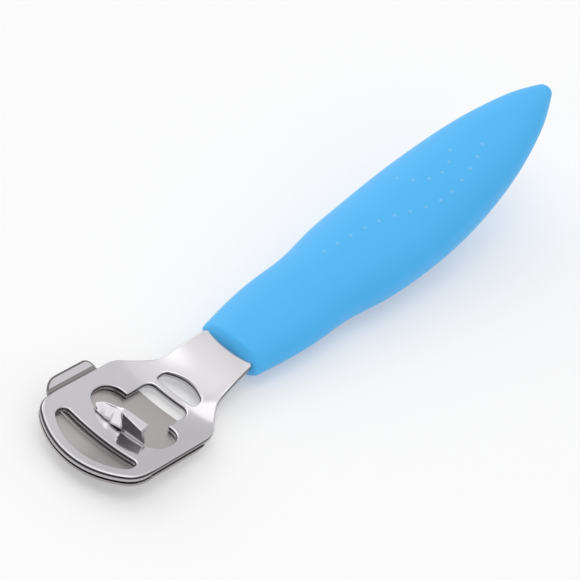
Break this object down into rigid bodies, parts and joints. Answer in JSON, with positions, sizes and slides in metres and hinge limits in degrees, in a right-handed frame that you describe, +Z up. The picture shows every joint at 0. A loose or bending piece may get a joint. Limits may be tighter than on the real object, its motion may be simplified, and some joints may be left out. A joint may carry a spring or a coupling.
{
  "type": "callus shaver",
  "caption": "Foot callus shaver: a dished, pierced steel head with a thin blade clamped under it by a sliding sole plate, on a leaf-shaped moulded handle.",
  "frame": {"origin": "middle of the bounding box at the table the tool lies on", "axes": "+Y runs from the shaving head towards the handle's tip, +Z is up from the table, +X is across the tool, away from the thumb tab"},
  "size_m": [0.0368, 0.18, 0.0281],
  "materials": {
    "handle_plastic": "light blue moulding with a soft satin skin and fine raised dots",
    "plated_steel": "polished nickel-chrome plating on pressed sheet steel",
    "blade_steel": "ground stainless strip with a honed edge"
  },
  "bodies": {
    "tool": {"handle": "handle_plastic", "head_plate": "plated_steel"},
    "clamp": {"clamp_plate": "plated_steel", "blade": "blade_steel"}
  },
  "joints": [
    {"name": "sole_slide", "type": "slide", "parent": "tool", "child": "clamp", "axis": [0, 0.9932, -0.1168], "range_m": [0, 0.004]}
  ]
}
